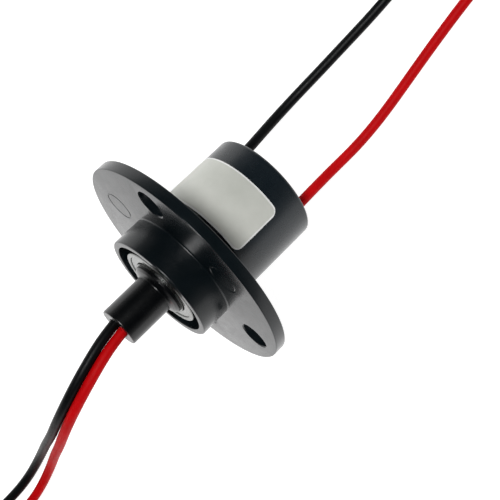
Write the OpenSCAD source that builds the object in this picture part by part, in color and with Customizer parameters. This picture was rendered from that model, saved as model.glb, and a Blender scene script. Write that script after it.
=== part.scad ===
// Flanged capsule slip ring, two heavy circuits, lying loose with its leads on the surface.
// Ring frame: Z is the spin axis towards the rotor's nose, Z = 0 is the flange's front face.
// Row frame: the ring as it comes to rest on its flange rim and its rear rim, nose up, nose towards -Y.

/* [Flange] */
// Diameter of the mounting flange
flange_d = 44.5; // [42:0.5:60]
// Thickness of the flange
flange_t = 2.2; // [1.6:0.1:4]
// Diameter of the bolt circle
bolt_pcd = 35; // [33:0.5:37]
// Diameter of each bolt hole
bolt_hole_d = 5.4; // [3:0.1:5.8]
// Turn of the first bolt hole about the spin axis, degrees
bolt_turn = -1; // [-10:1:10]

/* [Front housing] */
// Outer diameter of the collar in front of the flange
collar_d = 22; // [21.4:0.1:24]
// Height of the collar above the flange
collar_h = 5.85; // [4.8:0.05:8]
// Inner diameter of the collar's open rim
rim_d = 19.4; // [18:0.1:20]
// Depth of the open rim in front of the bearing seat
rim_depth = 2.4; // [1.6:0.1:3.4]
// Outer diameter of the short sleeve behind the flange
sleeve_d = 21.2; // [20.4:0.1:21.6]
// Length of the sleeve behind the flange
sleeve_l = 3.4; // [2.6:0.1:5]
// Length of the spigot that enters the rear shell
spigot_l = 2.4; // [1.6:0.1:3]
// Wall of the spigot
spigot_wall = 1.15; // [0.8:0.05:1.3]

/* [Rear shell] */
// Outer diameter of the rear shell
shell_d = 21.6; // [21.2:0.1:23]
// Wall of the rear shell
shell_wall = 1.1; // [0.8:0.05:1.2]
// Length of the rear shell
shell_l = 15.6; // [15.2:0.1:20]
// Radius of the shell's outer rear edge
shell_edge = 0.6; // [0.3:0.1:0.8]
// Thickness of the rear cap's floor
cap_t = 1.6; // [1:0.1:1.8]
// Depth of the cap inside the shell's rim
cap_recess = 0.6; // [0.3:0.1:1]
// Diameter of the locking pin on the joint line
lock_pin_d = 2.4; // [1.6:0.1:2.8]

/* [Spindle] */
// Diameter of the rotor's nose
nose_d = 7.6; // [7:0.1:9]
// Length of the nose beyond the collar's rim
nose_l = 9.65; // [8:0.05:16]
// Bore of the nose, which carries both rotor leads
nose_bore_d = 4; // [3.9:0.1:4.4]
// Diameter of the shoulder in front of the bearing
shoulder_d = 10.6; // [9.4:0.1:11]
// Length of the shoulder
shoulder_l = 0.9; // [0.6:0.1:1.4]
// Diameter of the core that carries the contact rings
core_d = 6.8; // [6.4:0.1:7.2]

/* [Contacts] */
// Outer diameter of a contact ring
ring_d = 9.6; // [9:0.1:10]
// Distance from one contact ring to the next
ring_pitch = 2; // [1.8:0.05:2.05]
// Width of a contact ring
ring_w = 1.3; // [1:0.05:1.5]
// Outer diameter of the insulating washers between the rings
barrier_d = 10.4; // [10.2:0.1:11]
// Diameter of a brush wire
brush_d = 0.4; // [0.3:0.05:0.5]

/* [Front bearing] */
// Outer diameter of the front bearing
front_od = 16; // [15.6:0.1:17]
// Bore of the front bearing
front_id = 8; // [7.8:0.1:8.4]
// Width of the front bearing
front_w = 5; // [4.4:0.1:5]
// Depth of the bearing's face below the collar's rim
front_recess = 0.3; // [0.3:0.1:1]
// Diameter of a front bearing ball
front_ball_d = 1.6; // [1.4:0.1:1.8]

/* [Rear bearing] */
// Outer diameter of the rear bearing
rear_od = 9; // [8.8:0.1:9.4]
// Bore of the rear bearing
rear_id = 5; // [4.8:0.1:5]
// Width of the rear bearing
rear_w = 3; // [2.6:0.1:3]
// Diameter of a rear bearing ball
rear_ball_d = 1; // [0.9:0.05:1.1]

/* [Leads] */
// Outer diameter of each lead
lead_d = 1.9; // [1.5:0.05:1.9]
// Place of the stator leads, from the rear bearing (0) to the shell's wall (1)
lead_share = 0.445; // [0.4:0.005:0.5]

/* [Label] */
// Length of the label along the shell
label_l = 10.4; // [6:0.2:14]
// Arc that the label covers, degrees
label_arc = 107; // [60:1:150]

/* [Hidden] */
$fn = 96;
seat = 0.03;            // radial gap of a seated piece
run_gap = 0.05;         // gap of a ball in its race, and of a brush in its groove
rim_edge = 0.3;         // outer edge radius of the collar and of the nose
flange_edge = 0.2;      // edge radius of the flange
balls = 9;              // balls in each bearing
ring_count = 6;         // contact rings, half of them on each circuit
brush_reach = 1.5;      // length of a brush beyond the spin axis
board_t = 0.8;
board_w = 6;
pad_t = 0.1;
pad_w = 2.4;
lip_t = 1.2;            // stop behind the front bearing
spacer_t = 0.6;
barrier_end = 0.35;     // half the width of an insulating washer at the stack's end
carrier_lip = 0.4;
slot_depth = 0.6;       // seat of a brush board in the bearing carrier
plug_l = 2;
wire_core_d = 1;
shield_t = 0.25;
clip_t = 0.4;
label_t = 0.12;
label_offset = -10;     // from the locking pin to the middle of the label, degrees
tie_t = 0.3;
tie_w = 2.2;

// Heights along the spin axis, front to back
rim_z = collar_h;
nose_z = rim_z + nose_l;
front_face_z = rim_z - front_recess;
front_back_z = front_face_z - front_w;
lip_z = front_back_z - lip_t;
stack_z = front_back_z - spacer_t;
first_ring_z = stack_z - 0.5 - barrier_end - ring_w / 2 + 0.15;
stack_end_z = first_ring_z - (ring_count - 1) * ring_pitch - ring_w / 2 - 2 * barrier_end;
joint_z = -flange_t - sleeve_l;
spigot_z = joint_z - spigot_l;
shell_z = joint_z - shell_l;
cap_z = shell_z + cap_recess;
cap_in_z = cap_z + cap_t;
carrier_z = stack_end_z - 0.45;
rear_face_z = carrier_z - carrier_lip;
rear_back_z = rear_face_z - rear_w;
spindle_end_z = rear_back_z - 2 * clip_t - 0.1;
core_end_z = carrier_z + 0.2;
sleeve_stop_z = carrier_z - slot_depth - 0.4;

// Radii that several pieces share
shell_ir = shell_d / 2 - shell_wall;
inner_r = shell_ir - seat;
cavity_r = inner_r - spigot_wall;
front_pitch_r = (front_od + front_id) / 4;
rear_pitch_r = (rear_od + rear_id) / 4;
groove_depth = 0.35;
brush_y = ring_d / 2;
board_x = sqrt(pow(cavity_r - 0.3, 2) - pow(board_w / 2, 2)) - board_t;
pad_x = board_x - pad_t;
lead_x = lead_d / 2 + 0.02;
lead_exit_r = rear_od / 2 + lead_share * (inner_r - rear_od / 2);
core_x = pad_x - wire_core_d / 2;
lock_turn = bolt_turn + 120;

// The ring rests on two round edges: the flange's rear edge and the shell's rear edge
edge_dz = (-flange_t + flange_edge) - (shell_z + shell_edge);
edge_dr = (flange_d / 2 - flange_edge) - (shell_d / 2 - shell_edge);
edge_gap = sqrt(pow(edge_dz, 2) + pow(edge_dr, 2));
tilt = atan2(edge_dr, edge_dz) - asin((shell_edge - flange_edge) / edge_gap);
lift = (flange_t - flange_edge) * sin(tilt) + (flange_d / 2 - flange_edge) * cos(tilt) + flange_edge;
back_reach = -(shell_z + shell_edge) * cos(tilt) + (shell_d / 2 - shell_edge) * sin(tilt) + shell_edge;
nose_reach = (nose_z - rim_edge) * cos(tilt) + (nose_d / 2 - rim_edge) * sin(tilt) + rim_edge;
flange_reach = (flange_d / 2 - flange_edge) * sin(tilt) - flange_edge * cos(tilt) + flange_edge;
base_y = (max(nose_reach, flange_reach) - back_reach) / 2;

function placed(p) = [
    p[0],
    base_y + p[1] * sin(tilt) - p[2] * cos(tilt),
    lift + p[1] * cos(tilt) + p[2] * sin(tilt)
];

// Routes of the leads where they aren't coiled, in the row frame, chosen by hand
wire_z = 1;
coil_wire_z = tie_t + lead_d / 2;
black_stator_start = placed([-lead_exit_r, 0, cap_z]);
red_stator_start = placed([lead_exit_r, 0, cap_z]);
black_rotor_start = placed([-lead_x, 0, nose_z]);
red_rotor_start = placed([lead_x, 0, nose_z]);
black_stator_route = concat([black_stator_start], [
    [-7, 17, 7.1], [-7.4, 20.5, 4.9], [-7.7, 24.5, 2.8], [-7.8, 29, 1.4], [-7.6, 34, wire_z],
    [-7.4, 39, wire_z], [-7.2, 44, wire_z], [-7, 49, wire_z], [-7, 55, coil_wire_z], [-7, 61, coil_wire_z]
]);
red_stator_route = concat([red_stator_start], [
    [6.7, 17, 7.1], [6.6, 20.5, 4.9], [6.6, 24.5, 2.8], [6.8, 29, 1.4], [6.7, 34, wire_z],
    [6.3, 39, wire_z], [5.7, 44, wire_z], [5.1, 49, wire_z], [4.5, 54.5, wire_z], [4, 60, wire_z],
    [3.6, 66, wire_z], [3.6, 72, coil_wire_z], [3.6, 78, coil_wire_z]
]);
black_rotor_route = concat([black_rotor_start], [
    [-0.6, -20.5, 30.1], [0.3, -24, 31.6], [1.2, -28, 32.2], [2, -32, 31.7], [2.5, -36, 30],
    [2.7, -39.8, 27], [2.6, -43, 23.5], [2.3, -46.3, 19.6], [1.9, -49.5, 15.8], [1.6, -52.8, 11.8],
    [1.4, -56.2, 8], [1.5, -60, 4.8], [1.9, -64.5, 2.3], [2.4, -69.5, 1.2], [2.2, -75.5, wire_z],
    [1.6, -82, coil_wire_z], [1.5, -88, coil_wire_z]
]);
red_rotor_route = concat([red_rotor_start], [
    [1.6, -20.5, 30.1], [2.6, -24, 31.6], [3.6, -28, 32.2], [4.4, -32, 31.7], [5, -36, 30],
    [5.3, -39.8, 27], [5.3, -43, 23.5], [5.2, -46.3, 19.6], [5, -49.5, 15.8], [4.8, -52.8, 11.8],
    [4.8, -56.2, 8], [5, -60, 4.8], [5.5, -64.5, 2.3], [6, -69.5, 1.2], [6, -75, wire_z],
    [5.6, -80, coil_wire_z], [5.6, -85, coil_wire_z]
]);

// Each coil: two turns side by side and one on them, on its centre, beside the end of its lead
coil_inner_turn = 5 * lead_d;
coil_outer_turn = 6 * lead_d;
coil_mid_r = (coil_inner_turn + coil_outer_turn) / 2;
coil_h = lead_d * (1 + sqrt(3) / 2);
black_stator_coil = [-7 - coil_outer_turn, 61];
red_stator_coil = [3.6 + coil_outer_turn, 78];
black_rotor_coil = [1.5 - coil_outer_turn, -88];
red_rotor_coil = [5.6 + coil_outer_turn, -85];

// ---- Helpers ----

module in_row() {
    translate([0, base_y, lift])
        rotate([90 - tilt, 0, 0])
            children();
}

// A ring about Z with a square section, from r0 to r1 and from z0 up to z1
module band(r0, r1, z0, z1) {
    rotate_extrude()
        translate([r0, z0])
            square([r1 - r0, z1 - z0]);
}

// A rod along Z from z0 up to z1
module rod(r, z0, z1) {
    translate([0, 0, z0])
        cylinder(r = r, h = z1 - z0);
}

// A radial rod along +X, turned about Z to an angle
module radial_rod(r, x0, x1, z, turn = 0) {
    rotate([0, 0, turn])
        translate([x0, 0, z])
            rotate([0, 90, 0])
                cylinder(r = r, h = x1 - x0, $fn = 48);
}

// The corner piece, inside a square corner at (x, y), that a round edge of radius r takes away
module corner_2d(x, y, r, sx, sy) {
    difference() {
        translate([x + (sx > 0 ? -r : 0), y + (sy > 0 ? -r : 0)])
            square([r, r]);
        translate([x - sx * r, y - sy * r])
            circle(r = r, $fn = 64);
    }
}

function unit(v) = v / norm(v);
function tangent(p, i) = unit(p[min(i + 1, len(p) - 1)] - p[max(i - 1, 0)]);

// A round tube with flat ends along a list of points; the first ring faces along start
module lead_tube(route, start) {
    sides = 8;
    rings = len(route);
    points = [
        for (i = [0:rings - 1])
            let (
                along = i == 0 ? start : tangent(route, i),
                side = unit(cross(along, [0, 0, 1])),
                up = cross(side, along)
            )
            for (k = [0:sides - 1])
                route[i] + lead_d / 2 * (cos(360 * k / sides) * side + sin(360 * k / sides) * up)
    ];
    walls = [
        for (i = [0:rings - 2])
            for (k = [0:sides - 1])
                let (a = i * sides + k, b = i * sides + (k + 1) % sides)
                [a, a + sides, b + sides, b]
    ];
    first = [for (k = [0:sides - 1]) k];
    last = [for (k = [sides - 1:-1:0]) (rings - 1) * sides + k];
    polyhedron(points = points, faces = concat([first], walls, [last]), convexity = 4);
}

// The outer shape of a lead's three turns, lying on its tie
module lead_coil(centre) {
    r = lead_d / 2;
    chamfer = r / 2;
    r0 = coil_inner_turn - r;
    r1 = coil_outer_turn + r;
    translate([centre[0], centre[1], tie_t])
        rotate_extrude()
            polygon([
                [r0 + chamfer, 0], [r1 - chamfer, 0], [r1, chamfer], [r1, lead_d - chamfer],
                [coil_mid_r + r, coil_h - r], [coil_mid_r + chamfer, coil_h],
                [coil_mid_r - chamfer, coil_h], [coil_mid_r - r, coil_h - r],
                [r0, lead_d - chamfer], [r0, chamfer]
            ]);
}

// A flat band round the coil's turns, at an angle about the coil's centre
module coil_tie(centre, turn) {
    gap = 0.1;
    w = 2 * lead_d + 2 * gap;
    h = coil_h + gap;
    translate([centre[0], centre[1], 0])
        rotate([0, 0, turn])
            translate([coil_mid_r, 0, 0])
                difference() {
                    translate([-w / 2 - tie_t, -tie_w / 2, 0])
                        cube([w + 2 * tie_t, tie_w, h + 2 * tie_t]);
                    translate([-w / 2, -tie_w, tie_t])
                        cube([w, 2 * tie_w, h]);
                }
}

// ---- Housing and shell ----

module front_housing() {
    color("#26292c")
        in_row()
            difference() {
                rotate_extrude()
                    difference() {
                        union() {
                            translate([0, joint_z])
                                square([sleeve_d / 2, sleeve_l]);
                            translate([0, -flange_t])
                                square([flange_d / 2, flange_t]);
                            square([collar_d / 2, rim_z]);
                            translate([0, spigot_z])
                                square([inner_r, spigot_l]);
                        }
                        corner_2d(flange_d / 2, 0, flange_edge, 1, 1);
                        corner_2d(flange_d / 2, -flange_t, flange_edge, 1, -1);
                        corner_2d(collar_d / 2, rim_z, rim_edge, 1, 1);
                        translate([0, rim_z - rim_depth])
                            square([rim_d / 2, rim_depth + 1]);
                        translate([0, front_back_z])
                            square([front_od / 2 + seat, front_w]);
                        translate([0, lip_z - 1])
                            square([front_od / 2 - lip_t, lip_t + 2]);
                        translate([0, spigot_z - 1])
                            square([cavity_r, lip_z - spigot_z + 1]);
                    }
                for (k = [0:2])
                    rotate([0, 0, bolt_turn + 120 * k])
                        translate([bolt_pcd / 2, 0, -flange_t - 1])
                            cylinder(d = bolt_hole_d, h = flange_t + 2);
                radial_rod(lock_pin_d / 2 + seat, cavity_r + 0.1, sleeve_d, joint_z, lock_turn);
            }
}

module rear_shell() {
    color("#1c2024")
        in_row()
            difference() {
                rotate_extrude()
                    difference() {
                        translate([shell_ir, shell_z])
                            square([shell_wall, shell_l]);
                        corner_2d(shell_d / 2, shell_z, shell_edge, 1, -1);
                        corner_2d(shell_d / 2, joint_z, rim_edge, 1, 1);
                    }
                radial_rod(lock_pin_d / 2 + seat, 0, shell_d, joint_z, lock_turn);
            }
}

module rear_cap() {
    skirt = 0.8;
    color("#16181a")
        in_row()
            difference() {
                union() {
                    rod(inner_r, cap_z, cap_in_z);
                    band(inner_r - skirt, inner_r, cap_in_z, rear_back_z - 0.2);
                }
                for (side = [-1, 1])
                    translate([side * lead_exit_r, 0, cap_z - 1])
                        cylinder(r = lead_d / 2 + seat, h = cap_t + 2, $fn = 48);
            }
}

module locking_pin() {
    depth = 0.4;
    color("#0f1012")
        in_row()
            radial_rod(lock_pin_d / 2, cavity_r + 0.15, sleeve_d / 2 - depth, joint_z, lock_turn);
}

module label() {
    r0 = shell_d / 2 + seat;
    color("#c9cac6")
        in_row()
            rotate([0, 0, lock_turn + label_offset - label_arc / 2])
                rotate_extrude(angle = label_arc)
                    translate([r0, joint_z - rim_edge - label_l])
                        square([label_t, label_l]);
}

// ---- Bearings ----

// The round groove of a race, with room for the balls
module race_groove(pitch_r, ball_d, mid_z) {
    rotate_extrude()
        translate([pitch_r, mid_z])
            circle(d = ball_d + 2 * run_gap, $fn = 48);
}

module outer_race(od, pitch_r, ball_d, back_z, w) {
    difference() {
        band(pitch_r + ball_d * 0.3, od / 2, back_z, back_z + w);
        race_groove(pitch_r, ball_d, back_z + w / 2);
    }
}

module inner_race(id, pitch_r, ball_d, back_z, w) {
    difference() {
        band(id / 2 + seat, pitch_r - ball_d * 0.3, back_z, back_z + w);
        race_groove(pitch_r, ball_d, back_z + w / 2);
    }
}

module cage(pitch_r, ball_d, mid_z) {
    half_t = ball_d * 0.17;
    half_w = ball_d * 0.75;
    difference() {
        band(pitch_r - half_t, pitch_r + half_t, mid_z - half_w, mid_z + half_w);
        for (k = [0:balls - 1])
            radial_rod(ball_d / 2 + run_gap, pitch_r - 3 * half_t, pitch_r + 3 * half_t, mid_z, 360 * k / balls);
    }
}

module ball_set(pitch_r, ball_d, mid_z) {
    for (k = [0:balls - 1])
        rotate([0, 0, 360 * k / balls])
            translate([pitch_r, 0, mid_z])
                sphere(d = ball_d, $fn = 32);
}

shield_r0 = front_pitch_r - front_ball_d * 0.3 + 0.15;
shield_r1 = front_pitch_r + front_ball_d * 0.3 + 0.6;

module front_bearing_outer_ring() {
    depth = 2 * shield_t;
    color("#b9bcbf")
        in_row()
            difference() {
                outer_race(front_od, front_pitch_r, front_ball_d, front_back_z, front_w);
                rod(shield_r1 + seat, front_face_z - depth, front_face_z + 1);
                rod(shield_r1 + seat, front_back_z - 1, front_back_z + depth);
            }
}

module front_bearing_front_shield() {
    color("#c6c9cc")
        in_row()
            band(shield_r0, shield_r1, front_face_z - 2 * shield_t, front_face_z - shield_t);
}

module front_bearing_rear_shield() {
    color("#c6c9cc")
        in_row()
            band(shield_r0, shield_r1, front_back_z + shield_t, front_back_z + 2 * shield_t);
}

module front_bearing_inner_ring() {
    color("#b9bcbf")
        in_row()
            inner_race(front_id, front_pitch_r, front_ball_d, front_back_z, front_w);
}

module front_bearing_cage() {
    color("#a9905a")
        in_row()
            cage(front_pitch_r, front_ball_d, front_back_z + front_w / 2);
}

module front_bearing_balls() {
    color("#d7dadd")
        in_row()
            ball_set(front_pitch_r, front_ball_d, front_back_z + front_w / 2);
}

module rear_bearing_carrier() {
    color("#2a2c2f")
        in_row()
            difference() {
                rod(inner_r, rear_back_z - 0.2, carrier_z);
                rod(rear_od / 2 + seat, rear_back_z - 1, rear_face_z);
                rod(rear_od / 2 - 0.7, rear_face_z - 1, carrier_z + 1);
                for (side = [-1, 1]) {
                    translate([side * lead_exit_r, 0, rear_back_z - 1])
                        cylinder(r = lead_d / 2 + seat, h = sleeve_stop_z - rear_back_z + 1, $fn = 48);
                    translate([side * core_x, 0, sleeve_stop_z - 0.05])
                        cylinder(r = wire_core_d / 2 + 0.07, h = 2, $fn = 32);
                }
                for (side = [0, 180])
                    rotate([0, 0, side])
                        translate([board_x, -board_w / 2, carrier_z - slot_depth])
                            cube([board_t, board_w, slot_depth + 1]);
            }
}

module rear_bearing_outer_ring() {
    color("#b9bcbf")
        in_row()
            outer_race(rear_od, rear_pitch_r, rear_ball_d, rear_back_z, rear_w);
}

module rear_bearing_inner_ring() {
    color("#b9bcbf")
        in_row()
            inner_race(rear_id, rear_pitch_r, rear_ball_d, rear_back_z, rear_w);
}

module rear_bearing_cage() {
    color("#a9905a")
        in_row()
            cage(rear_pitch_r, rear_ball_d, rear_back_z + rear_w / 2);
}

module rear_bearing_balls() {
    color("#d7dadd")
        in_row()
            ball_set(rear_pitch_r, rear_ball_d, rear_back_z + rear_w / 2);
}

// ---- Rotor ----

function ring_z(k) = first_ring_z - (k - 1) * ring_pitch;
// Rings 1 to 3 are on the red circuit at +X, rings 4 to 6 on the black circuit at -X
function ring_side(k) = k <= ring_count / 2 ? 1 : -1;

module spindle() {
    step_r = rear_id / 2 + 0.6;
    bore_end = stack_end_z + 0.4;
    color("#24272a")
        in_row()
            difference() {
                rotate_extrude()
                    difference() {
                        union() {
                            translate([0, front_face_z])
                                square([nose_d / 2, nose_z - front_face_z]);
                            translate([0, front_face_z])
                                square([shoulder_d / 2, shoulder_l]);
                            translate([0, front_back_z])
                                square([front_id / 2, front_w]);
                            translate([0, core_end_z])
                                square([core_d / 2, front_back_z - core_end_z]);
                            translate([0, rear_face_z])
                                square([step_r, core_end_z - rear_face_z]);
                            translate([0, spindle_end_z])
                                square([rear_id / 2, rear_face_z - spindle_end_z]);
                        }
                        corner_2d(nose_d / 2, nose_z, rim_edge, 1, 1);
                        corner_2d(shoulder_d / 2, front_face_z + shoulder_l, rim_edge, 1, 1);
                        translate([rear_id / 2 - clip_t, rear_back_z - clip_t - 0.04])
                            square([1, clip_t + 0.04]);
                    }
                rod(nose_bore_d / 2, bore_end, nose_z + 1);
                for (k = [1:ring_count])
                    radial_rod(wire_core_d / 2 + seat, 0, core_d, ring_z(k), ring_side(k) > 0 ? 0 : 180);
            }
}

module bearing_spacer() {
    color("#8d9194")
        in_row()
            band(core_d / 2 + seat, core_d / 2 + 1.7, stack_z, front_back_z);
}

module retaining_ring() {
    mouth = 3;
    color("#6f7275")
        in_row()
            difference() {
                band(rear_id / 2 - clip_t + seat, rear_id / 2 + 0.6, rear_back_z - clip_t, rear_back_z);
                translate([0, -mouth / 2, rear_back_z - 1])
                    cube([rear_id, mouth, 2]);
            }
}

module nose_plug() {
    color("#101113")
        in_row()
            difference() {
                rod(nose_bore_d / 2 - seat, nose_z - rim_edge - plug_l, nose_z - rim_edge);
                for (side = [-1, 1])
                    translate([side * lead_x, 0, nose_z - 2 * plug_l])
                        cylinder(r = lead_d / 2 + seat / 2, h = 3 * plug_l, $fn = 48);
            }
}

module insulating_washers() {
    gap_w = ring_pitch - ring_w;
    color("#ded8c4")
        in_row()
            for (k = [0:ring_count])
                let (
                    top = k == 0 ? first_ring_z + ring_w / 2 + 2 * barrier_end : ring_z(k) - ring_w / 2,
                    w = k == 0 || k == ring_count ? 2 * barrier_end : gap_w
                )
                band(core_d / 2 + seat, barrier_d / 2, top - w, top);
}

module contact_ring(k) {
    half_w = groove_depth;
    color("#d9b24a")
        in_row()
            translate([0, 0, ring_z(k)])
                rotate_extrude()
                    difference() {
                        translate([core_d / 2 + seat, -ring_w / 2])
                            square([(ring_d - core_d) / 2 - seat, ring_w]);
                        polygon([
                            [ring_d / 2 - groove_depth, 0],
                            [ring_d / 2 + 0.1, half_w + 0.1],
                            [ring_d / 2 + 0.1, -half_w - 0.1]
                        ]);
                    }
}

// ---- Brushes and boards ----

module brush_board(turn) {
    color("#2f6b45")
        in_row()
            rotate([0, 0, turn])
                translate([board_x, -board_w / 2, carrier_z - slot_depth])
                    cube([board_t, board_w, lip_z - carrier_z + slot_depth]);
}

module solder_pad(turn) {
    color("#c9ccd0")
        in_row()
            rotate([0, 0, turn])
                translate([pad_x, -pad_w / 2, carrier_z + 0.1])
                    cube([pad_t, pad_w, lip_z - carrier_z - 0.5]);
}

// A wire hairpin that is soldered to its board and runs in its ring's groove on both sides
module brush(k) {
    bridge_x = pad_x - brush_d / 2;
    color("#e0bd5c")
        in_row()
            rotate([0, 0, ring_side(k) > 0 ? 0 : 180])
                translate([0, 0, ring_z(k)]) {
                    for (side = [-1, 1])
                        translate([-brush_reach, side * brush_y, 0])
                            rotate([0, 90, 0])
                                cylinder(d = brush_d, h = bridge_x + brush_reach, $fn = 24);
                    translate([bridge_x, brush_y, 0])
                        rotate([90, 0, 0])
                            cylinder(d = brush_d, h = 2 * brush_y, $fn = 24);
                    for (side = [-1, 1])
                        translate([bridge_x, side * brush_y, 0])
                            sphere(d = brush_d, $fn = 24);
                }
}

// ---- Leads inside the ring ----

module stator_core(side) {
    color(side > 0 ? "#c01418" : "#141516")
        in_row() {
            translate([side * lead_exit_r, 0, cap_z])
                cylinder(d = lead_d, h = sleeve_stop_z - cap_z, $fn = 48);
            translate([side * core_x, 0, sleeve_stop_z])
                cylinder(d = wire_core_d, h = carrier_z + 1.2 - sleeve_stop_z, $fn = 32);
        }
}

module rotor_core(side) {
    first = side > 0 ? 1 : ring_count / 2 + 1;
    last = side > 0 ? ring_count / 2 : ring_count;
    sleeve_end = ring_z(first) + 1.5;
    color(side > 0 ? "#c01418" : "#141516")
        in_row() {
            translate([side * lead_x, 0, sleeve_end])
                cylinder(d = lead_d, h = nose_z - sleeve_end, $fn = 48);
            translate([side * lead_x, 0, ring_z(last) - wire_core_d / 2])
                cylinder(d = wire_core_d, h = sleeve_end - ring_z(last) + wire_core_d / 2, $fn = 32);
            for (k = [first:last])
                radial_rod(wire_core_d / 2, lead_x, core_d / 2, ring_z(k), side > 0 ? 0 : 180);
        }
}

// ---- Leads outside the ring ----

out_back = placed([0, 0, -1]) - placed([0, 0, 0]);
out_nose = -out_back;

front_housing();
rear_shell();
rear_cap();
locking_pin();
label();
front_bearing_outer_ring();
front_bearing_front_shield();
front_bearing_rear_shield();
front_bearing_inner_ring();
front_bearing_cage();
front_bearing_balls();
rear_bearing_carrier();
rear_bearing_outer_ring();
rear_bearing_inner_ring();
rear_bearing_cage();
rear_bearing_balls();
spindle();
bearing_spacer();
retaining_ring();
nose_plug();
insulating_washers();
contact_ring(1);  // contact_ring_1
contact_ring(2);  // contact_ring_2
contact_ring(3);  // contact_ring_3
contact_ring(4);  // contact_ring_4
contact_ring(5);  // contact_ring_5
contact_ring(6);  // contact_ring_6
brush_board(0);  // red_brush_board
brush_board(180);  // black_brush_board
solder_pad(0);  // red_solder_pad
solder_pad(180);  // black_solder_pad
brush(1);  // brush_1
brush(2);  // brush_2
brush(3);  // brush_3
brush(4);  // brush_4
brush(5);  // brush_5
brush(6);  // brush_6
stator_core(1);  // red_stator_core
stator_core(-1);  // black_stator_core
rotor_core(1);  // red_rotor_core
rotor_core(-1);  // black_rotor_core
color("#c01418") lead_tube(red_stator_route, out_back);  // red_stator_lead
color("#141516") lead_tube(black_stator_route, out_back);  // black_stator_lead
color("#c01418") lead_tube(red_rotor_route, out_nose);  // red_rotor_lead
color("#141516") lead_tube(black_rotor_route, out_nose);  // black_rotor_lead
color("#c01418") lead_coil(red_stator_coil);
color("#141516") lead_coil(black_stator_coil);
color("#c01418") lead_coil(red_rotor_coil);
color("#141516") lead_coil(black_rotor_coil);
color("#e6e6e2") coil_tie(red_stator_coil, 0);  // red_stator_tie
color("#e6e6e2") coil_tie(black_stator_coil, 180);  // black_stator_tie
color("#e6e6e2") coil_tie(red_rotor_coil, 0);  // red_rotor_tie
color("#e6e6e2") coil_tie(black_rotor_coil, 180);  // black_rotor_tie
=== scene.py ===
"""Slip ring lying on a pale table with its four leads.

Sizes and places are in mm; meshes, camera and lights are in metres, in the row frame of the CAD.
"""
import math

import bmesh
import bpy
from mathutils import Matrix, Vector


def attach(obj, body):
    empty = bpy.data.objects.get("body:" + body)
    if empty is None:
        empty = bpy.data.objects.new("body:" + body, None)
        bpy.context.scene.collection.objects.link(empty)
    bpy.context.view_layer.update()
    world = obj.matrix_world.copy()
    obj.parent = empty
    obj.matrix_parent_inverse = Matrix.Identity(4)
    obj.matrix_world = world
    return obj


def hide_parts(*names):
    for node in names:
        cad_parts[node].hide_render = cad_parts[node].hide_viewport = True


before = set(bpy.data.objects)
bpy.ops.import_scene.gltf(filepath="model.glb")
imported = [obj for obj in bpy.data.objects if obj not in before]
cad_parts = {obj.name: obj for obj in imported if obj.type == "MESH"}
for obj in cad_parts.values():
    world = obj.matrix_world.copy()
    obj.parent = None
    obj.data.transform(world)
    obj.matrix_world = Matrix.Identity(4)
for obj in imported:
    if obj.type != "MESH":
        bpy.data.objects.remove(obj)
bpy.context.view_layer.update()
MM = 0.001

# ---------------------------------------------------------------- sizes of the CAD, in mm
FLANGE_D, FLANGE_T, FLANGE_EDGE = 44.5, 2.2, 0.2
BOLT_PCD, BOLT_HOLE_D, BOLT_TURN = 35.0, 5.4, -1.0
COLLAR_D, COLLAR_H, RIM_D, RIM_DEPTH, RIM_EDGE = 22.0, 5.85, 19.4, 2.4, 0.3
SLEEVE_D, SLEEVE_L, SPIGOT_L, SPIGOT_WALL = 21.2, 3.4, 2.4, 1.15
SHELL_D, SHELL_WALL, SHELL_L, SHELL_EDGE = 21.6, 1.1, 15.6, 0.6
CAP_RECESS = 0.6
LOCK_PIN_D, LOCK_TURN = 2.4, 119.0
NOSE_D, NOSE_L, NOSE_BORE = 7.6, 9.65, 4.0
SHOULDER_D, SHOULDER_L = 10.6, 0.9
CORE_D, CORE_L, STEP_D, STEP_L, TAIL_L = 6.8, 13.55, 6.2, 0.6, 0.9
FRONT_OD, FRONT_ID, FRONT_W, FRONT_RECESS, LIP_T = 16.0, 8.0, 5.0, 0.3, 1.2
REAR_OD, REAR_ID, REAR_W = 9.0, 5.0, 3.0
CLIP_DEPTH, CLIP_GROOVE = 0.4, 0.44
SHIELD_T, SHIELD_IR = 0.25, 5.67
LEAD_D, LEAD_SHARE, LEAD_X = 1.9, 0.445, 0.97
LABEL_L, LABEL_ARC, LABEL_T, LABEL_TURN = 10.4, 107.0, 0.12, 109.0
SEAT = 0.03  # radial gap of a seated piece
# three radii of the front bearing that are up to 0.03 mm larger than the CAD's
SHIELD_OR, MOUTH_R, RACE_R = 7.11, 7.13, 6.5

# heights on the spin axis; 0 is the flange's front face and the nose is at the top
JOINT_Z = -FLANGE_T - SLEEVE_L
SHELL_Z = JOINT_Z - SHELL_L
CAP_Z = SHELL_Z + CAP_RECESS
NOSE_Z = COLLAR_H + NOSE_L
FACE_Z = COLLAR_H - FRONT_RECESS
BACK_Z = FACE_Z - FRONT_W
SPIGOT_Z = JOINT_Z - SPIGOT_L
CORE_END_Z = BACK_Z - CORE_L
REAR_FACE_Z = CORE_END_Z - STEP_L
REAR_BACK_Z = REAR_FACE_Z - REAR_W
SPINDLE_END_Z = REAR_BACK_Z - TAIL_L

# radii that several pieces share
SHELL_IR = SHELL_D / 2 - SHELL_WALL
INNER_R = SHELL_IR - SEAT
CAVITY_R = INNER_R - SPIGOT_WALL
LEAD_R = REAR_OD / 2 + LEAD_SHARE * (INNER_R - REAR_OD / 2)

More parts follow.
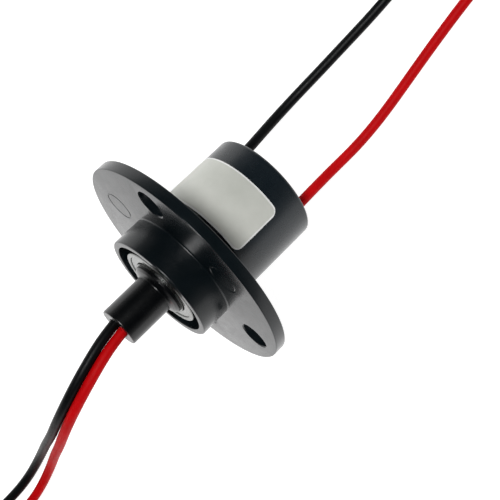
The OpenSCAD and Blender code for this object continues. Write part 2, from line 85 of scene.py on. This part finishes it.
# the ring rests on two round edges: the flange's rear edge and the shell's rear edge
EDGE_DZ = (-FLANGE_T + FLANGE_EDGE) - (SHELL_Z + SHELL_EDGE)
EDGE_DR = (FLANGE_D / 2 - FLANGE_EDGE) - (SHELL_D / 2 - SHELL_EDGE)
TILT = math.atan2(EDGE_DR, EDGE_DZ) - math.asin((SHELL_EDGE - FLANGE_EDGE) / math.hypot(EDGE_DZ, EDGE_DR))
SIN, COS = math.sin(TILT), math.cos(TILT)
LIFT = (FLANGE_T - FLANGE_EDGE) * SIN + (FLANGE_D / 2 - FLANGE_EDGE) * COS + FLANGE_EDGE
BACK_REACH = -(SHELL_Z + SHELL_EDGE) * COS + (SHELL_D / 2 - SHELL_EDGE) * SIN + SHELL_EDGE
NOSE_REACH = (NOSE_Z - RIM_EDGE) * COS + (NOSE_D / 2 - RIM_EDGE) * SIN + RIM_EDGE
BASE_Y = (NOSE_REACH - BACK_REACH) / 2
IN_ROW = (
    Matrix.Translation((0, BASE_Y * MM, LIFT * MM))
    @ Matrix.Rotation(math.pi / 2 - TILT, 4, "X")
    @ Matrix.Scale(MM, 4)
)


def placed(x, y, z):
    """A point of the ring's own frame, in mm, as a point of the row frame, in mm."""
    return Vector((x, BASE_Y + y * SIN - z * COS, LIFT + y * COS + z * SIN))


# ---------------------------------------------------------------- materials
class Look:
    """A Principled material with noises on object coordinates, whose scales are in cycles per metre."""

    def __init__(self, name):
        self.material = bpy.data.materials.new(name)
        self.material.use_nodes = True
        self.nodes = self.material.node_tree.nodes
        self.links = self.material.node_tree.links
        self.shader = self.nodes["Principled BSDF"]
        self.coords = self.nodes.new("ShaderNodeTexCoord").outputs["Object"]
        self.normal = None

    def fixed(self, socket, value):
        """One value all over the surface."""
        self.shader.inputs[socket].default_value = value

    def noise(self, scale, detail=4.0, rough=0.55, stretch=None):
        texture = self.nodes.new("ShaderNodeTexNoise")
        texture.inputs["Scale"].default_value = scale
        texture.inputs["Detail"].default_value = detail
        texture.inputs["Roughness"].default_value = rough
        vector = self.coords
        if stretch:
            mapping = self.nodes.new("ShaderNodeMapping")
            mapping.inputs["Scale"].default_value = stretch
            self.links.new(vector, mapping.inputs["Vector"])
            vector = mapping.outputs["Vector"]
        self.links.new(vector, texture.inputs["Vector"])
        return texture.outputs["Fac"]

    def colour(self, source, low_at, low, high_at, high):
        """Base colour: low where the source is at low_at or less, high where it is at high_at or more."""
        ramp = self.nodes.new("ShaderNodeValToRGB")
        for stop, at, tone in zip(ramp.color_ramp.elements, (low_at, high_at), (low, high)):
            stop.position = at
            stop.color = (*tone, 1)
        self.links.new(source, ramp.inputs["Fac"])
        self.links.new(ramp.outputs["Color"], self.shader.inputs["Base Color"])

    def roughness(self, source, low, high):
        """Roughness from low to high over the middle of the source's range."""
        fit = self.nodes.new("ShaderNodeMapRange")
        for socket, value in (("From Min", 0.3), ("From Max", 0.7), ("To Min", low), ("To Max", high)):
            fit.inputs[socket].default_value = value
        self.links.new(source, fit.inputs["Value"])
        self.links.new(fit.outputs["Result"], self.shader.inputs["Roughness"])

    def bump(self, source, strength, distance):
        """Relief on top of the relief that is already there; distance is in metres."""
        node = self.nodes.new("ShaderNodeBump")
        node.inputs["Strength"].default_value = strength
        node.inputs["Distance"].default_value = distance
        self.links.new(source, node.inputs["Height"])
        if self.normal:
            self.links.new(self.normal, node.inputs["Normal"])
        self.normal = node.outputs["Normal"]
        self.links.new(self.normal, self.shader.inputs["Normal"])


def moulded(name, dark, light, rough, grain, gloss=0.5):
    """Moulded engineering plastic: fine spark-eroded grain, faint flow lines and tone, small scuffs."""
    look = Look(name)
    look.colour(look.noise(90, 3), 0.3, dark, 0.72, light)
    look.roughness(look.noise(420, 5, 0.62, (1, 1, 0.35)), *rough)
    look.bump(look.noise(260, 2, 0.5, (1, 0.3, 1)), 0.12, 0.00005)
    look.bump(look.noise(5200, 3, 0.6), grain, 0.000012)
    look.fixed("Specular IOR Level", gloss)
    return look.material


def metal(name, low, high, rough, fineness=900, strength=0.25):
    """Ground or turned metal with fine marks."""
    look = Look(name)
    marks = look.noise(fineness, 6, 0.6)
    look.colour(marks, 0.25, low, 0.75, high)
    look.roughness(marks, *rough)
    look.bump(look.noise(fineness * 5, 2, 0.5), strength, 0.00001)
    look.fixed("Metallic", 1.0)
    return look.material


def insulation(name, dark, light, rough, gloss):
    """Extruded wire insulation: slight dust and waviness."""
    look = Look(name)
    broad = look.noise(260, 4, 0.6)
    fine = look.noise(2600, 4, 0.65)
    look.colour(broad, 0.3, dark, 0.7, light)
    look.roughness(fine, *rough)
    look.bump(broad, 0.2, 0.00006)
    look.bump(fine, 0.25, 0.00002)
    look.fixed("Specular IOR Level", gloss)
    return look.material


def board_material():
    """Glass-epoxy board under green resist, with the weave just showing."""
    look = Look("board_green")
    weave = look.nodes.new("ShaderNodeTexWave")
    weave.inputs["Scale"].default_value = 900
    weave.inputs["Distortion"].default_value = 0.6
    look.links.new(look.coords, weave.inputs["Vector"])
    look.colour(weave.outputs["Fac"], 0.2, (0.010, 0.095, 0.035), 0.8, (0.018, 0.150, 0.060))
    look.roughness(look.noise(1500, 3), 0.2, 0.36)
    look.bump(weave.outputs["Fac"], 0.2, 0.00001)
    return look.material


def film(name, low, high):
    """Silvered polyester film, bare, with a slight orange-peel and a few dust marks."""
    look = Look(name)
    fine = look.noise(1900, 5, 0.6)
    look.colour(look.noise(170, 4), 0.3, low, 0.7, high)
    look.roughness(fine, 0.34, 0.5)
    look.bump(fine, 0.2, 0.000015)
    look.fixed("Metallic", 0.1)
    return look.material


def floor_material():
    """Pale paper that glows, so that nearly no shadow shows on it."""
    look = Look("floor_white")
    look.colour(look.noise(60, 3), 0.3, (0.34, 0.34, 0.34), 0.7, (0.37, 0.37, 0.37))
    look.fixed("Roughness", 0.8)
    look.fixed("Specular IOR Level", 0.2)
    look.fixed("Emission Color", (1, 1, 1, 1))
    look.fixed("Emission Strength", 0.98)
    return look.material


HOUSING = moulded(
    "housing_black", (0.0022, 0.0040, 0.0052), (0.0046, 0.0078, 0.0098), (0.19, 0.27), 0.5, gloss=0.38
)
SHELL = moulded(
    "shell_black", (0.0042, 0.0078, 0.0110), (0.0078, 0.0132, 0.0175), (0.22, 0.31), 0.45, gloss=0.46
)
SPINDLE = moulded(
    "spindle_black", (0.0014, 0.0018, 0.0022), (0.0032, 0.0040, 0.0048), (0.20, 0.29), 0.45, gloss=0.42
)
CAP = moulded("cap_black", (0.004, 0.005, 0.006), (0.009, 0.010, 0.012), (0.42, 0.56), 0.6)
PIN = moulded("pin_black", (0.003, 0.003, 0.004), (0.008, 0.008, 0.010), (0.3, 0.45), 0.3)
CARRIER = moulded("carrier_black", (0.014, 0.015, 0.017), (0.030, 0.032, 0.035), (0.42, 0.55), 0.5)
POTTING = moulded("potting_epoxy", (0.006, 0.006, 0.008), (0.012, 0.012, 0.015), (0.12, 0.26), 0.15)
INSULATOR = moulded("insulating_washer", (0.62, 0.55, 0.40), (0.76, 0.70, 0.55), (0.38, 0.5), 0.35)
TIE = moulded("tie_white", (0.66, 0.66, 0.62), (0.80, 0.80, 0.76), (0.34, 0.5), 0.3)
BEARING = metal("bearing_steel", (0.19, 0.195, 0.19), (0.25, 0.255, 0.25), (0.22, 0.34))
SHIELD = metal("shield_steel", (0.18, 0.185, 0.18), (0.24, 0.245, 0.24), (0.20, 0.30))
BALL = metal("ball_steel", (0.68, 0.69, 0.70), (0.80, 0.81, 0.82), (0.06, 0.12), 1500, 0.05)
CAGE = metal("cage_brass", (0.48, 0.36, 0.16), (0.66, 0.52, 0.26), (0.26, 0.4))
SPACER = metal("spacer_steel", (0.40, 0.41, 0.42), (0.56, 0.57, 0.58), (0.28, 0.42))
CLIP = metal("clip_steel", (0.20, 0.20, 0.21), (0.36, 0.36, 0.38), (0.28, 0.42))
GOLD = metal("contact_gold", (0.70, 0.48, 0.14), (0.86, 0.64, 0.24), (0.12, 0.24))
BRUSH = metal("brush_gold", (0.72, 0.52, 0.20), (0.88, 0.68, 0.32), (0.14, 0.28))
SOLDER = metal("solder", (0.56, 0.57, 0.58), (0.78, 0.79, 0.80), (0.22, 0.42), 1200, 0.4)
TINNED = metal("tinned_copper", (0.58, 0.57, 0.55), (0.80, 0.79, 0.77), (0.24, 0.4), 2200, 0.5)
RED = insulation("sleeve_red", (0.49, 0.0004, 0.0018), (0.62, 0.0010, 0.0032), (0.50, 0.66), 0.10)
BLACK = insulation("sleeve_black", (0.0010, 0.0014, 0.0017), (0.0026, 0.0034, 0.0040), (0.36, 0.54), 0.14)
BOARD = board_material()
LABEL = film("label_film", (0.56, 0.575, 0.525), (0.65, 0.66, 0.61))
LABEL_MARGIN = film("label_margin", (0.78, 0.785, 0.77), (0.86, 0.865, 0.85))


# ---------------------------------------------------------------- mesh helpers
def linked(name, data):
    """A new object with this data, linked into the scene."""
    obj = bpy.data.objects.new(name, data)
    bpy.context.collection.objects.link(obj)
    return obj


def to_mesh(name, bm):
    """A mesh from bm, which is freed."""
    mesh = bpy.data.meshes.new(name)
    bmesh.ops.recalc_face_normals(bm, faces=bm.faces)
    bm.to_mesh(mesh)
    bm.free()
    return mesh


def finish_mesh(name, bm, material, body, replaced, matrix=IN_ROW, angle=28):
    """A piece on its body, in place of the replaced CAD nodes; an edge over the angle in degrees is sharp."""
    mesh = to_mesh(name, bm)
    mesh.transform(matrix)
    mesh.shade_smooth()
    mesh.set_sharp_from_angle(angle=math.radians(angle))
    mesh.materials.append(material)
    obj = linked(name, mesh)
    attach(obj, body)
    if replaced:
        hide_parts(*replaced)
    return obj


def rounded(points, steps=5):
    """A profile of (r, z, edge radius) corners as points with each corner rounded."""
    out = []
    for i, (r, z, edge) in enumerate(points):
        here = Vector((r, z))
        back = Vector(points[i - 1][:2]) - here
        ahead = Vector(points[(i + 1) % len(points)][:2]) - here
        if edge <= 0:
            out.append(here)
            continue
        reach = min(edge / math.tan(back.angle(ahead) / 2), back.length * 0.49, ahead.length * 0.49)
        start = here + back.normalized() * reach
        end = here + ahead.normalized() * reach
        for k in range(steps + 1):
            t = k / steps
            out.append((1 - t) ** 2 * start + 2 * t * (1 - t) * here + t * t * end)
    return out


def lathe(profile, segments, closed=True, centre=(0, 0)):
    """Turns a profile of (r, z) about Z; closed joins its last point to its first."""
    bm = bmesh.new()
    around = [2 * math.pi * k / segments for k in range(segments)]
    rings = []
    for r, z in profile:
        angles = around if r > 1e-5 else [0.0]
        rings.append([
            bm.verts.new((centre[0] + r * math.cos(a), centre[1] + r * math.sin(a), z)) for a in angles
        ])
    pairs = list(zip(rings, rings[1:]))
    if closed:
        pairs.append((rings[-1], rings[0]))
    for a, b in pairs:
        if len(a) == 1 and len(b) == 1:
            continue
        for k in range(segments):
            j = (k + 1) % segments
            if len(a) == 1:
                bm.faces.new((a[0], b[j], b[k]))
            elif len(b) == 1:
                bm.faces.new((a[k], a[j], b[0]))
            else:
                bm.faces.new((a[k], a[j], b[j], b[k]))
    return bm


def moved(bm, matrix):
    """The same bmesh, moved by the matrix."""
    bmesh.ops.transform(bm, matrix=matrix, verts=bm.verts)
    return bm


def cut(body, cutters):
    """The bmesh body less each cutter, as a new bmesh."""
    target = linked("cut_target", to_mesh("cut_target", body))
    tools = [linked("cutter", to_mesh("cutter", cutter)) for cutter in cutters]
    for tool in tools:
        modifier = target.modifiers.new("cut", "BOOLEAN")
        modifier.operation = "DIFFERENCE"
        modifier.solver = "EXACT"
        modifier.object = tool
    bpy.context.view_layer.update()
    graph = bpy.context.evaluated_depsgraph_get()
    result = bmesh.new()
    result.from_mesh(target.evaluated_get(graph).to_mesh())
    for obj in [target] + tools:
        mesh = obj.data
        bpy.data.objects.remove(obj)
        bpy.data.meshes.remove(mesh)
    return result


def spline(points, per):
    """A cubic B-spline along given points that starts and ends on its end points."""
    line = [points[0] * 2 - points[1]] + points + [points[-1] * 2 - points[-2]]
    out = []
    for i in range(1, len(line) - 2):
        p0, p1, p2, p3 = line[i - 1:i + 3]
        for k in range(per):
            t = k / per
            w0 = (1 - t) ** 3
            w1 = 3 * t ** 3 - 6 * t * t + 4
            w2 = -3 * t ** 3 + 3 * t * t + 3 * t + 1
            w3 = t ** 3
            out.append((w0 * p0 + w1 * p1 + w2 * p2 + w3 * p3) / 6)
    out.append(points[-1])
    return out


def ease(value, low, high):
    """From 0 at low to 1 at high, smoothly."""
    t = min(max((value - low) / (high - low), 0), 1)
    return t * t * (3 - 2 * t)


# ---------------------------------------------------------------- the four leads, in mm
TIE_T = 0.3
WIRE_Z = 1.0
COIL_Z = TIE_T + LEAD_D / 2
ROUTES = {
    "black_stator": [
        placed(-LEAD_R, 0, CAP_Z),
        (-7, 17, 7.1), (-7.4, 20.5, 4.9), (-7.7, 24.5, 2.8), (-7.8, 29, 1.4), (-7.6, 34, WIRE_Z),
        (-7.4, 39, WIRE_Z), (-7.2, 44, WIRE_Z), (-7, 49, WIRE_Z), (-7, 55, COIL_Z), (-7, 61, COIL_Z),
    ],
    "red_stator": [
        placed(LEAD_R, 0, CAP_Z),
        (6.7, 17, 7.1), (6.6, 20.5, 4.9), (6.6, 24.5, 2.8), (6.8, 29, 1.4), (6.7, 34, WIRE_Z),
        (6.3, 39, WIRE_Z), (5.7, 44, WIRE_Z), (5.1, 49, WIRE_Z), (4.5, 54.5, WIRE_Z), (4, 60, WIRE_Z),
        (3.6, 66, WIRE_Z), (3.6, 72, COIL_Z), (3.6, 78, COIL_Z),
    ],
    "black_rotor": [
        placed(-LEAD_X, 0, NOSE_Z),
        (-0.45, -20.5, 30.2), (0.5, -24, 31.7), (1.42, -28, 32.35), (2.25, -32, 31.85), (2.78, -36, 30.15),
        (2.98, -39.8, 27.15), (2.88, -43, 23.65), (2.58, -46.3, 19.75), (2.2, -49.5, 15.95),
        (1.9, -52.8, 11.95), (1.7, -56.2, 8.1), (1.75, -60, 4.85), (2.05, -64.5, 2.35), (2.4, -69.5, 1.2),
        (2.2, -75.5, WIRE_Z), (1.6, -82, COIL_Z), (1.5, -88, COIL_Z),
    ],
    "red_rotor": [
        placed(LEAD_X, 0, NOSE_Z),
        (1.46, -20.5, 30), (2.4, -24, 31.5), (3.36, -28, 32.1), (4.14, -32, 31.6), (4.72, -36, 29.9),
        (5.02, -39.8, 26.9), (5.02, -43, 23.4), (4.92, -46.3, 19.5), (4.7, -49.5, 15.7),
        (4.5, -52.8, 11.7), (4.5, -56.2, 7.9), (4.75, -60, 4.7), (5.35, -64.5, 2.3), (6, -69.5, 1.2),
        (6, -75, WIRE_Z), (5.6, -80, COIL_Z), (5.6, -85, COIL_Z),
    ],
}
# centre of each coil, the angle at which its lead joins it, and the way it winds (1 is counter-clockwise)
R_IN, R_OUT = 5 * LEAD_D, 6 * LEAD_D
COILS = {
    "black_stator": ((-7 - R_OUT, 61), 0, 1),
    "red_stator": ((3.6 + R_OUT, 78), 180, -1),
    "black_rotor": ((1.5 - R_OUT, -88), 0, -1),
    "red_rotor": ((5.6 + R_OUT, -85), 180, 1),
}


def coil_points(centre, start, way):
    """One turn outside, one turn inside it at the same height, then one in the valley on them."""
    count = 107
    whole_turn = 3 * 360 - 24
    inwards = (325, 360)
    upwards = (680, 720)
    valley_r = (R_IN + R_OUT) / 2
    valley_rise = LEAD_D * math.sqrt(3) / 2
    out = []
    for k in range(1, count + 1):
        turn = whole_turn * k / count
        up = ease(turn, *upwards)
        r = R_OUT + (R_IN - R_OUT) * ease(turn, *inwards) + (valley_r - R_IN) * up
        z = COIL_Z + valley_rise * up
        a = math.radians(start + way * turn)
        out.append(Vector((centre[0] + r * math.cos(a), centre[1] + r * math.sin(a), z)))
    return out


def tinned_end(name, body, before, end):
    """The stripped end of a lead: seven tinned strands, one of them in the middle."""
    strand_r, strand_gap, bare_l, inside = 0.18, 0.34, 3.2, 0.2
    along = (end - before).normalized()
    u = along.orthogonal().normalized()
    v = along.cross(u)
    aim = along.to_track_quat("Z", "Y").to_matrix().to_4x4()
    bm = bmesh.new()
    for k in range(7):
        off = strand_gap if k else 0
        a = 2 * math.pi * k / 6
        base = end - along * inside + (u * math.cos(a) + v * math.sin(a)) * off
        length = bare_l - 0.12 * (k % 3)
        profile = rounded([(0, 0, 0), (strand_r, 0, 0.03), (strand_r, length, 0.08), (0, length, 0)], 3)
        strand = moved(lathe(profile, 16, closed=False), Matrix.Translation(base) @ aim)
        mesh = bpy.data.meshes.new("strand")
        strand.to_mesh(mesh)
        strand.free()
        bm.from_mesh(mesh)
        bpy.data.meshes.remove(mesh)
    return finish_mesh(name, bm, TINNED, body, [], Matrix.Scale(MM, 4), 40)


def make_lead(name):
    """The round lead with its coil and its tinned end; the tie is the CAD's own."""
    colour, side = name.split("_")
    path = spline([Vector(p) for p in ROUTES[name]], 3) + coil_points(*COILS[name])
    curve = bpy.data.curves.new(name + "_wire", "CURVE")
    curve.dimensions = "3D"
    curve.bevel_depth = LEAD_D / 2 * MM
    curve.bevel_resolution = 8
    curve.use_fill_caps = True
    line = curve.splines.new("POLY")
    line.points.add(len(path) - 1)
    for point, p in zip(line.points, path):
        point.co = (*(p * MM), 1)
    line.use_smooth = True
    curve.materials.append(RED if colour == "red" else BLACK)
    obj = linked(name + "_wire", curve)
    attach(obj, side)
    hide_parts(name + "_lead", name + "_coil")
    tip = tinned_end(name + "_tip", side, path[-2], path[-1])


for name in ROUTES:
    make_lead(name)


# ---------------------------------------------------------------- front housing and rear shell
def bolt_hole(turn):
    """A bolt hole's cutter, with a fine bevel at both faces of the flange."""
    a = math.radians(turn)
    bevel, over, spread = 0.18, 1.5, 1.7
    r = BOLT_HOLE_D / 2
    profile = [
        (0, over), (r + spread, over), (r, -bevel),
        (r, -FLANGE_T + bevel), (r + spread, -FLANGE_T - over), (0, -FLANGE_T - over),
    ]
    return lathe(profile, 72, closed=False, centre=(BOLT_PCD / 2 * math.cos(a), BOLT_PCD / 2 * math.sin(a)))


def locking_hole():
    """The cutter for the locking pin's hole, which lies across the joint of housing and shell."""
    length = 4
    r = LOCK_PIN_D / 2 + SEAT
    rod = lathe([(0, 0), (r, 0), (r, length), (0, length)], 48, closed=False)
    turn = Matrix.Rotation(math.radians(LOCK_TURN), 4, "Z")
    start = Matrix.Translation((CAVITY_R + 0.1, 0, JOINT_Z))
    return moved(rod, turn @ start @ Matrix.Rotation(math.pi / 2, 4, "Y"))


def ejector_mark(turn, r):
    """The cutter for a fine ring, 0.1 mm deep, in the flange's front face."""
    a = math.radians(turn)
    mark_r, depth, over = 2.8, 0.1, 0.05
    profile = [
        (mark_r - 0.07, -depth), (mark_r + 0.05, -depth), (mark_r + 0.2, over), (mark_r - 0.22, over),
    ]
    return lathe(profile, 64, centre=(r * math.cos(a), r * math.sin(a)))


def make_housing():
    """Rim, collar, flange, sleeve and spigot in one moulding, with the bearing's seat and stop."""
    lip_z = BACK_Z - LIP_T
    lip_r = FRONT_OD / 2 - LIP_T
    seat_r = FRONT_OD / 2 + SEAT
    well_z = COLLAR_H - RIM_DEPTH
    body = lathe(rounded([
        (RIM_D / 2, COLLAR_H, 0.12), (COLLAR_D / 2, COLLAR_H, RIM_EDGE), (COLLAR_D / 2, 0, 0.3),
        (FLANGE_D / 2, 0, FLANGE_EDGE), (FLANGE_D / 2, -FLANGE_T, FLANGE_EDGE),
        (SLEEVE_D / 2, -FLANGE_T, 0.25), (SLEEVE_D / 2, JOINT_Z, 0.1), (INNER_R, JOINT_Z, 0),
        (INNER_R, SPIGOT_Z, 0.2), (CAVITY_R, SPIGOT_Z, 0.2), (CAVITY_R, lip_z, 0), (lip_r, lip_z, 0.1),
        (lip_r, BACK_Z, 0.1), (seat_r, BACK_Z, 0), (seat_r, well_z, 0.1), (RIM_D / 2, well_z, 0.15),
    ]), 288)
    cutters = [bolt_hole(BOLT_TURN + 120 * k) for k in range(3)]
    cutters.append(locking_hole())
    cutters += [ejector_mark(turn, r) for turn, r in ((57.5, 15.0), (179.5, 15.4), (299, 15.2))]
    finish_mesh(
        "housing_moulding", cut(body, cutters), HOUSING, "stator", ["front_housing"]
    )


def make_shell():
    """The rear shell, with its half of the locking hole."""
    body = lathe(rounded([
        (SHELL_IR, JOINT_Z, 0.05), (SHELL_D / 2, JOINT_Z, RIM_EDGE),
        (SHELL_D / 2, SHELL_Z, SHELL_EDGE), (SHELL_IR, SHELL_Z, 0.25),
    ], 8), 256)
    finish_mesh(
        "shell_moulding", cut(body, [locking_hole()]), SHELL, "stator", ["rear_shell"]
    )


make_housing()
make_shell()


# ---------------------------------------------------------------- spindle and the bearing in the well
def make_spindle():
    """Nose, shoulder, bearing seats, core and clip groove; the bore's wall is hidden and isn't made."""
    shoulder_z = FACE_Z + SHOULDER_L
    bevel_w, bevel_h = 0.5, 0.35
    clip_r = REAR_ID / 2 - CLIP_DEPTH
    clip_z = REAR_BACK_Z - CLIP_GROOVE
    bore_end_z = CORE_END_Z + 0.65
    body = lathe(rounded([
        (NOSE_BORE / 2, NOSE_Z - 0.02, 0.2), (NOSE_D / 2, NOSE_Z, 0.32),
        (NOSE_D / 2, shoulder_z + bevel_h, 0.3), (SHOULDER_D / 2 - bevel_w, shoulder_z, 0.15),
        (SHOULDER_D / 2, shoulder_z - bevel_h, 0.12), (SHOULDER_D / 2, FACE_Z, 0.05),
        (FRONT_ID / 2, FACE_Z, 0), (FRONT_ID / 2, BACK_Z, 0),
        (CORE_D / 2, BACK_Z, 0), (CORE_D / 2, CORE_END_Z, 0.1),
        (STEP_D / 2, CORE_END_Z, 0), (STEP_D / 2, REAR_FACE_Z, 0),
        (REAR_ID / 2, REAR_FACE_Z, 0), (REAR_ID / 2, REAR_BACK_Z, 0),
        (clip_r, REAR_BACK_Z, 0), (clip_r, clip_z, 0),
        (REAR_ID / 2, clip_z, 0.05), (REAR_ID / 2, SPINDLE_END_Z, 0.2), (0, SPINDLE_END_Z, 0),
        (0, bore_end_z, 0), (NOSE_BORE / 2, bore_end_z, 0),
    ], 6), 160, closed=False)
    finish_mesh("spindle_moulding", body, SPINDLE, "rotor", ["spindle"])


def make_bearing_outer():
    """The outer ring, with a mouth for the shield at both faces."""
    front_z = FACE_Z - 2 * SHIELD_T
    back_z = BACK_Z + 2 * SHIELD_T
    body = lathe(rounded([
        (MOUTH_R, FACE_Z, 0.12), (FRONT_OD / 2, FACE_Z, 0.25), (FRONT_OD / 2, BACK_Z, 0.25),
        (MOUTH_R, BACK_Z, 0.1), (MOUTH_R, back_z, 0), (RACE_R, back_z, 0),
        (RACE_R, front_z, 0), (MOUTH_R, front_z, 0),
    ]), 192)
    finish_mesh("bearing_outer", body, BEARING, "stator", ["front_bearing_outer_ring"])


def make_shield():
    """The pressed front shield: a flat ring between its formed inner and outer edges."""
    flat_r0, flat_r1 = 5.95, 6.85
    flat_z = FACE_Z - 0.16
    back_z = FACE_Z - 2 * SHIELD_T
    body = lathe(rounded([
        (SHIELD_IR, FACE_Z - SHIELD_T, 0.06), (flat_r0, flat_z, 0.2), (flat_r1, flat_z, 0.2),
        (SHIELD_OR, FACE_Z - 0.2, 0.04), (SHIELD_OR, back_z, 0), (SHIELD_IR, back_z, 0),
    ], 4), 192)
    finish_mesh("bearing_shield", body, SHIELD, "stator", ["front_bearing_front_shield"])


make_spindle()
make_bearing_outer()
make_shield()


# ---------------------------------------------------------------- label
def label_half_height(s, half_w, corner):
    """Half the label's height at the distance s from its middle, less in the rounded corners."""
    inset = abs(s) - (half_w - corner)
    if inset <= 0:
        return LABEL_L / 2
    return LABEL_L / 2 - corner + math.sqrt(max(0.0, corner ** 2 - inset ** 2))


def label_sheet(margin):
    """A thin sheet round the shell with rounded corners and a margin, in columns along its arc."""
    glue_t, corner, edge_drop, columns = 0.005, 1.5, 0.035, 120
    inner_r = SHELL_D / 2 + glue_t
    outer_r = SHELL_D / 2 + LABEL_T
    half_w = math.radians(LABEL_ARC / 2) * inner_r
    mid_z = JOINT_Z - RIM_EDGE - LABEL_L / 2
    stations = [-half_w + 2 * half_w * k / columns for k in range(columns + 1)]
    for side in (-1, 1):
        stations.append(side * (half_w - margin))
        for a in range(6, 90, 6):
            stations.append(side * (half_w - corner + corner * math.sin(math.radians(a))))
    stations = sorted(set(stations))
    levels = [0, margin / LABEL_L, 0.2, 0.4, 0.6, 0.8, 1 - margin / LABEL_L, 1]
    last_i, last_j = len(stations) - 1, len(levels) - 1
    bm = bmesh.new()
    grid = {}
    for layer, layer_r in (("out", outer_r), ("in", inner_r)):
        for i, s in enumerate(stations):
            half_h = max(label_half_height(s, half_w, corner), 0.02)
            a = math.radians(LABEL_TURN) + s / inner_r
            for j, level in enumerate(levels):
                edge = j in (0, last_j) or i in (0, last_i)
                r = layer_r - (edge_drop if layer == "out" and edge else 0)
                z = mid_z - half_h + 2 * half_h * level
                grid[layer, i, j] = bm.verts.new((r * math.cos(a), r * math.sin(a), z))

    def quad(*corners):
        return bm.faces.new([grid[c] for c in corners])

    for i in range(last_i):
        n = i + 1
        for j in range(last_j):
            top = quad(("out", i, j), ("out", n, j), ("out", n, j + 1), ("out", i, j + 1))
            across = (stations[i] + stations[n]) / 2
            top.material_index = int(j in (0, last_j - 1) or abs(across) > half_w - margin)
            quad(("in", i, j), ("in", i, j + 1), ("in", n, j + 1), ("in", n, j))
        quad(("out", i, 0), ("in", i, 0), ("in", n, 0), ("out", n, 0))
        quad(("out", i, last_j), ("out", n, last_j), ("in", n, last_j), ("in", i, last_j))
    for i in (0, last_i):
        for j in range(last_j):
            quad(("out", i, j), ("out", i, j + 1), ("in", i, j + 1), ("in", i, j))
    return bm


LABEL_RIM = 0.3
sheet = label_sheet(LABEL_RIM)
label = finish_mesh("label_sheet", sheet, LABEL, "stator", ["label"], angle=40)
label.data.materials.append(LABEL_MARGIN)

# ---------------------------------------------------------------- CAD nodes that stay, with their materials
KEPT = {
    CAP: ["rear_cap"],
    PIN: ["locking_pin"],
    SHIELD: ["front_bearing_rear_shield"],
    BEARING: ["front_bearing_inner_ring", "rear_bearing_outer_ring", "rear_bearing_inner_ring"],
    CAGE: ["front_bearing_cage", "rear_bearing_cage"],
    BALL: ["front_bearing_balls", "rear_bearing_balls"],
    CARRIER: ["rear_bearing_carrier"],
    SPACER: ["bearing_spacer"],
    CLIP: ["retaining_ring"],
    POTTING: ["nose_plug"],
    INSULATOR: ["insulating_washers"],
    GOLD: ["contact_ring_%d" % k for k in range(1, 7)],
    BRUSH: ["brush_%d" % k for k in range(1, 7)],
    BOARD: ["red_brush_board", "black_brush_board"],
    SOLDER: ["red_solder_pad", "black_solder_pad"],
    RED: ["red_stator_core", "red_rotor_core"],
    BLACK: ["black_stator_core", "black_rotor_core"],
    TIE: [lead + "_tie" for lead in ROUTES],
}
for material, names in KEPT.items():
    for name in names:
        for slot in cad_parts[name].material_slots:
            slot.material = material


# ---------------------------------------------------------------- floor, world, lights and camera
def make_floor():
    half = 9
    mesh = bpy.data.meshes.new("floor")
    corners = [(-half, -half, 0), (half, -half, 0), (half, half, 0), (-half, half, 0)]
    mesh.from_pydata(corners, [], [(0, 1, 2, 3)])
    mesh.materials.append(floor_material())
    floor = linked("floor", mesh)


def make_world():
    """White at the horizon, a grey band over it and a dim ceiling, so gloss that faces up stays dark."""
    world = bpy.context.scene.world or bpy.data.worlds.new("world")
    bpy.context.scene.world = world
    world.use_nodes = True
    nodes, links = world.node_tree.nodes, world.node_tree.links
    direction = nodes.new("ShaderNodeTexCoord")
    split = nodes.new("ShaderNodeSeparateXYZ")
    links.new(direction.outputs["Generated"], split.inputs["Vector"])
    ramp = nodes.new("ShaderNodeValToRGB")
    ramp.color_ramp.interpolation = "EASE"
    for _ in range(2):
        ramp.color_ramp.elements.new(0.5)
    heights = (0.01, 0.09, 0.16, 0.50)
    levels = (1.0, 0.30, 0.28, 0.006)
    for stop, height, level in zip(ramp.color_ramp.elements, heights, levels):
        stop.position = height
        stop.color = (level, level, level, 1)
    links.new(split.outputs["Z"], ramp.inputs["Fac"])
    background = nodes["Background"]
    links.new(ramp.outputs["Color"], background.inputs["Color"])
    background.inputs["Strength"].default_value = 1.0


def softbox(name, at, size, power):
    """A round area light that faces the ring; metres and watts."""
    target = Vector((0, 0, 0.01))
    light = bpy.data.lights.new(name, "AREA")
    light.shape = "DISK"
    light.size = size
    light.energy = power
    obj = linked(name, light)
    obj.location = at
    obj.rotation_euler = (target - Vector(at)).to_track_quat("-Z", "Y").to_euler()


def make_camera():
    """A long lens nearly overhead, turned so that the ring's axis runs from lower left to upper right."""
    data = bpy.data.cameras.new("camera")
    data.sensor_width = 36
    data.lens = 73.4
    data.clip_start = 0.01
    data.clip_end = 20
    eye = Vector((25.3, 50.25, 188.0)) * MM
    aim = Vector((4.8, 1.1, 0)) * MM
    picture_top = Vector((-0.6836, 0.7209, -0.1139))
    forward = (aim - eye).normalized()
    up = (picture_top - picture_top.dot(forward) * forward).normalized()
    right = forward.cross(up)
    camera = linked("camera", data)
    camera.matrix_world = Matrix((
        (right.x, up.x, -forward.x, eye.x),
        (right.y, up.y, -forward.y, eye.y),
        (right.z, up.z, -forward.z, eye.z),
        (0, 0, 0, 1),
    ))
    bpy.context.scene.camera = camera


make_floor()
make_world()
softbox("top_softbox", (-0.1, 0.14, 1.3), 0.4, 13.5)
softbox("left_softbox", (-1.1, -0.5, 0.30), 0.6, 0.8)
softbox("right_softbox", (1.1, -0.5, 0.30), 0.6, 0.8)
make_camera()
bpy.context.scene.view_settings.view_transform = "Standard"
bpy.context.scene.view_settings.look = "None"
